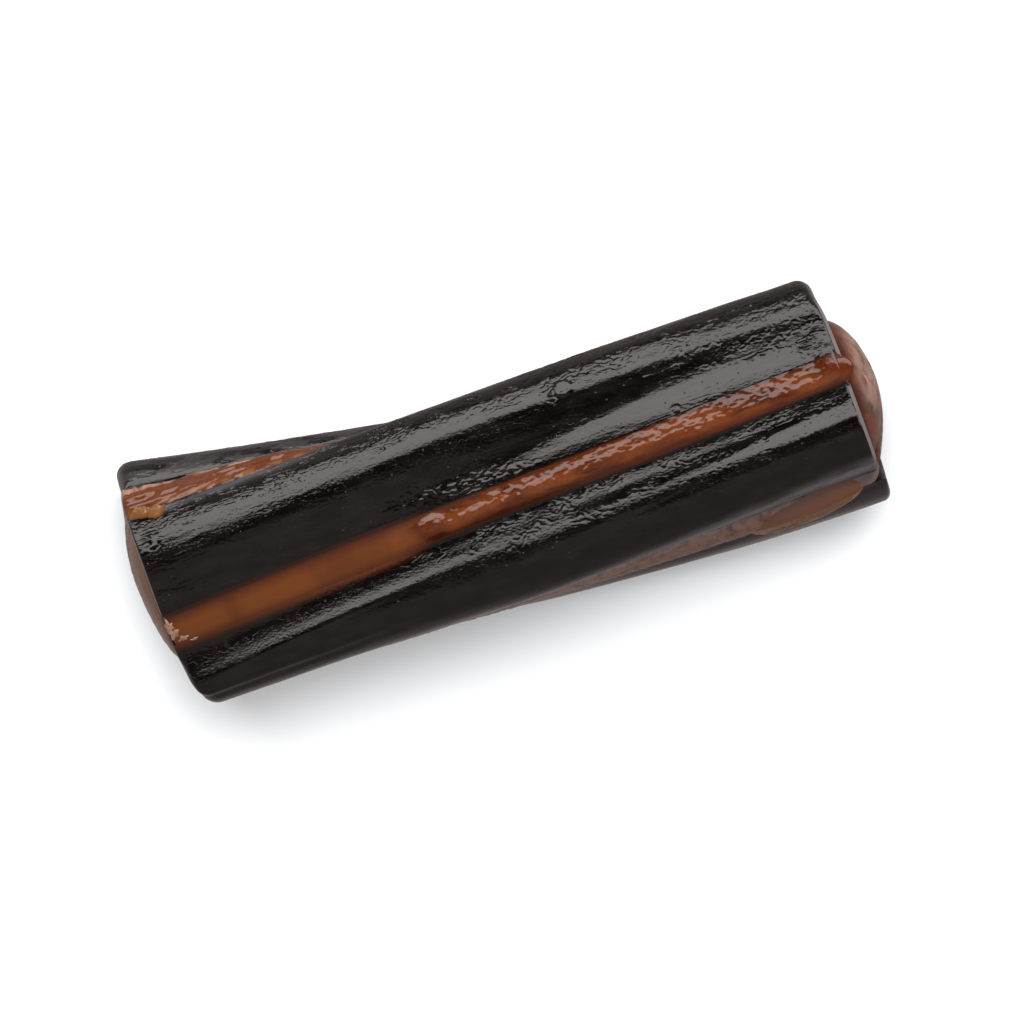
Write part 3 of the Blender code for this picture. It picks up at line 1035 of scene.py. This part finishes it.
# Lumps of caramel: where along the stick, their size along, across and high, in mm, and how rough
# and steep they are. The angle is from the middle of the top groove, at that distance from the axis,
# or, for one that lies on a strip, from the strip's first wall.
plainLump = {"gold": 0.0, "red": 0.0, "bloomAndSheen": 0.0, "dusk": 0.0, "fade": 0.0, "rough": 1.0, "steep": 2}
crumb = {**plainLump, "gold": 1.0}
smear = {**plainLump, "on": "licorice_front", "rough": 2.4}
lumps = {
    "crumb_left": {**crumb, "x": -24.2, "angle": -80.0, "radius": 6.2, "size": (0.8, 0.5, 0.42)},
    "crumb_right": {**crumb, "x": -23.2, "angle": -77.5, "radius": 6.15, "size": (0.7, 0.55, 0.36)},
    "smear_one": {
        **smear, "x": -24.3, "angle": -11.9, "size": (0.3, 0.42, 0.06),
        "gold": 1.0, "bloomAndSheen": 0.7,
    },
    "smear_two": {
        **smear, "x": -24.1, "angle": -7.2, "size": (0.42, 0.4, 0.06),
        "gold": 0.7, "red": 0.2, "bloomAndSheen": 0.7,
    },
    "smear_three": {
        **smear, "x": -23.6, "angle": -2.7, "size": (0.42, 0.26, 0.05),
        "gold": 0.4, "red": 0.3, "bloomAndSheen": 0.8,
    },
    "smear_four": {**smear, "x": -22.9, "angle": 0.3, "size": (0.36, 0.13, 0.04), "bloomAndSheen": 0.9},
    "bead": {
        **plainLump, "x": 23.95, "angle": 1.5, "radius": 6.47, "size": (1.0, 0.93, 0.11),
        "red": 0.75, "rough": 0.1, "steep": 6,
    },
    # The drip's mauve inner side is partly a painted reflection of the floor, like the groove beside it.
    "drip": {
        **plainLump, "x": 19.2, "angle": 0.5, "on": "licorice_under", "size": (4.3, 1.3, 0.3),
        "gold": 0.55, "rough": 0.5, "fade": 0.6, "dusk": 0.5,
    },
}

lumpShape = {
    "around": 49,
    "out": 22,
    "uneven": 0.25,
    "lobes": 1.3,
    "sink": 0.12,
    "crumple": {"strength": 0.35, "cell": (0.24, 0.28), "seed": 5},
    "radius": 6.5,
    "overWall": (-3.0, 7.0),
    "rim": (0.72, 0.98),
    "rimSide": (-0.1, 0.4),
    "innerSide": (-0.8, 0.1),
    "seed": 131,
}


def lumpGrid(lump, seed):
    # A lump's points, and how much each belongs to its outer rim and to its inner side.
    values = lumpShape
    long, wide, high = lump["size"]
    around = np.linspace(0.0, 2 * math.pi, values["around"])[None, :]
    out = np.sin(np.linspace(0.0, math.pi / 2, values["out"]))[:, None]
    lobes = ripple(values["lobes"] * np.cos(around), values["lobes"] * np.sin(around), seed)
    uneven = 1 + values["uneven"] * lump["rough"] * lobes
    x = lump["x"] + long * uneven * out * np.cos(around)
    sideways = wide * uneven * out * np.sin(around)
    height = high * np.sqrt(np.clip(1 - out ** lump["steep"], 0.0, 1.0)) - values["sink"] * out**4
    crumple = values["crumple"]["strength"] * rippleIn(values["crumple"], x, sideways, seed)
    height = height + high * lump["rough"] * crumple * (1 - out**4)
    angle = lump["angle"] + np.degrees(sideways / values["radius"])
    if "on" in lump:
        u = x / stick["halfLength"]
        first, last = stripWalls(lump["on"], u)
        index = list(strips).index(lump["on"])
        grooveStart = along(grooves[index]["from"], u)
        level = caramelLevel(index, (angle + first - grooveStart) / (first - grooveStart), u, x)
        _, face = stripFace(lump["on"], np.clip(angle / (last - first), 0.0, 1.0), u)
        radius = level + (face - level) * smooth(*values["overWall"], angle)
        angle = angle + first
    else:
        radius = lump["radius"]
    outer = smooth(*values["rim"], out) * smooth(*values["rimSide"], np.sin(around))
    inner = 1 - smooth(*values["innerSide"], out * np.sin(around))
    return place(x, angle, radius + height)[0], outer, inner


for number, (name, lump) in enumerate(lumps.items()):
    grid, outer, inner = lumpGrid(lump, lumpShape["seed"] + number)
    faded = lump["fade"] * outer
    marks = {
        "edge": [1.0],
        "deep": [1.0],
        "dusk": [lump["dusk"] * inner],
        "red": [lump["red"]],
        "gold": [lump["gold"] * (1 - faded)],
        "bloomAndSheen": [lump["bloomAndSheen"] + faded * (1 - lump["bloomAndSheen"])],
    }
    piece = makePiece("caramel_" + name, [grid], caramel, marks)
    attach(piece, "root")
print(len(lumps), "lumps of caramel made")

grids, marks = caramelGrids()
core = makePiece("dressed_caramel_core", grids, caramel, marks)
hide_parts("caramel_core")
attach(core, "root")
print("caramel made with", len(core.data.polygons), "faces")

# The photograph's view: straight down with a long lens, the stick turned in the frame.
camera = {
    "turn": 15.62,
    "centre": (-0.153, -1.65),
    "frameWidth": 69.6,
    "height": 1000.0,
    "sensor": 36.0,
}


def makeCamera():
    data = bpy.data.cameras.new("camera")
    data.type = "PERSP"
    data.sensor_width = camera["sensor"]
    data.lens = camera["sensor"] * camera["height"] / camera["frameWidth"]
    data.dof.use_dof = False
    placed = addObject("camera", data)
    x, y = camera["centre"]
    placed.location = (x * mm, y * mm, (camera["height"] + stick["axisHeight"]) * mm)
    placed.rotation_euler = (0.0, 0.0, -math.radians(camera["turn"]))
    bpy.context.scene.camera = placed


# Studio, in metres and watts: a dim room, a broad softbox beyond the stick with a black border, and
# three washes from above for the floor.
studio = {
    "room": (0.345, 0.3, 0.285),
    "boxDistance": 0.6,
    "boxElevation": (4.0, 44.0),
    "boxWidth": 1.2,
    "boxPower": 6.0,
    "boxColour": (1.0, 0.96, 0.95),
    "borderDistance": 0.624,
    "borderElevation": (-10.0, 70.0),
    "borderWidth": 1.6,
    "washes": [
        {"elevation": 64.0, "side": -38.0, "distance": 0.6, "wide": 0.3, "tall": 0.5, "power": 2.3},
        {"elevation": 64.0, "side": 38.0, "distance": 0.6, "wide": 0.3, "tall": 0.5, "power": 2.3},
        {"elevation": 90.0, "side": 0.0, "distance": 0.6, "wide": 0.5, "tall": 1.8, "power": 5.4},
    ],
    "floorSize": 2.0,
    "floor": (0.745, 0.78, 0.8, 1.0),
    "black": (0.0, 0.0, 0.0, 1.0),
}


def fromAbove(distance, elevation, side=0.0):
    # A place up the photograph at that height above the horizon, and the turn that faces the stick.
    turn, rise = math.radians(camera["turn"] + side), math.radians(elevation)
    flat = distance * math.cos(rise)
    spot = (flat * math.sin(turn), flat * math.cos(turn), distance * math.sin(rise))
    return spot, (math.pi / 2 - rise, 0.0, math.pi - turn)


def onlySeenBy(thing, glossy, diffuse, shadow, lens):
    thing.visible_glossy = glossy
    thing.visible_diffuse = diffuse
    thing.visible_shadow = shadow
    thing.visible_camera = lens
    thing.visible_transmission = False


def panel(name, width, depth, colour):
    data = bpy.data.meshes.new(name)
    w, d = width / 2, depth / 2
    data.from_pydata([(-w, -d, 0), (w, -d, 0), (w, d, 0), (-w, d, 0)], [], [(0, 1, 2, 3)])
    look, start = newLook(name)
    finishLook(start, start.node("ShaderNodeBsdfDiffuse", {}, {"Color": colour}))
    data.materials.append(look)
    thing = addObject(name, data)
    return thing


def areaLight(name, wide, tall, power):
    data = bpy.data.lights.new(name, "AREA")
    data.shape = "RECTANGLE"
    data.size = wide
    data.size_y = tall
    data.energy = power
    return addObject(name, data)


def makeStudio():
    values = studio
    world = bpy.data.worlds.new("room")
    world.use_nodes = True
    world.node_tree.nodes["Background"].inputs["Color"].default_value = (*values["room"], 1.0)
    bpy.context.scene.world = world
    low, high = values["boxElevation"]
    tall = 2 * values["boxDistance"] * math.tan(math.radians(high - low) / 2)
    softbox = areaLight("softbox", values["boxWidth"], tall, values["boxPower"])
    softbox.data.color = values["boxColour"]
    softbox.location, softbox.rotation_euler = fromAbove(values["boxDistance"], (low + high) / 2)
    low, high = values["borderElevation"]
    tall = 2 * values["borderDistance"] * math.tan(math.radians(high - low) / 2)
    border = panel("softbox_border", values["borderWidth"], tall, values["black"])
    border.location, border.rotation_euler = fromAbove(values["borderDistance"], (low + high) / 2)
    onlySeenBy(border, True, False, False, False)
    floor = panel("floor", values["floorSize"], values["floorSize"], values["floor"])
    onlySeenBy(floor, False, True, True, True)
    for wash in values["washes"]:
        lamp = areaLight("floor_wash", wash["wide"], wash["tall"], wash["power"])
        lamp.location, lamp.rotation_euler = fromAbove(wash["distance"], wash["elevation"], wash["side"])
        onlySeenBy(lamp, False, True, True, False)
    # The softbox lights the stick but not the floor.
    notFloor = bpy.data.collections.new("not_floor")
    notFloor.objects.link(floor)
    notFloor.collection_objects[0].light_linking.link_state = "EXCLUDE"
    softbox.light_linking.receiver_collection = notFloor


makeCamera()
makeStudio()
bpy.context.scene.view_settings.view_transform = "Standard"
bpy.context.scene.view_settings.look = "None"
print("studio made")
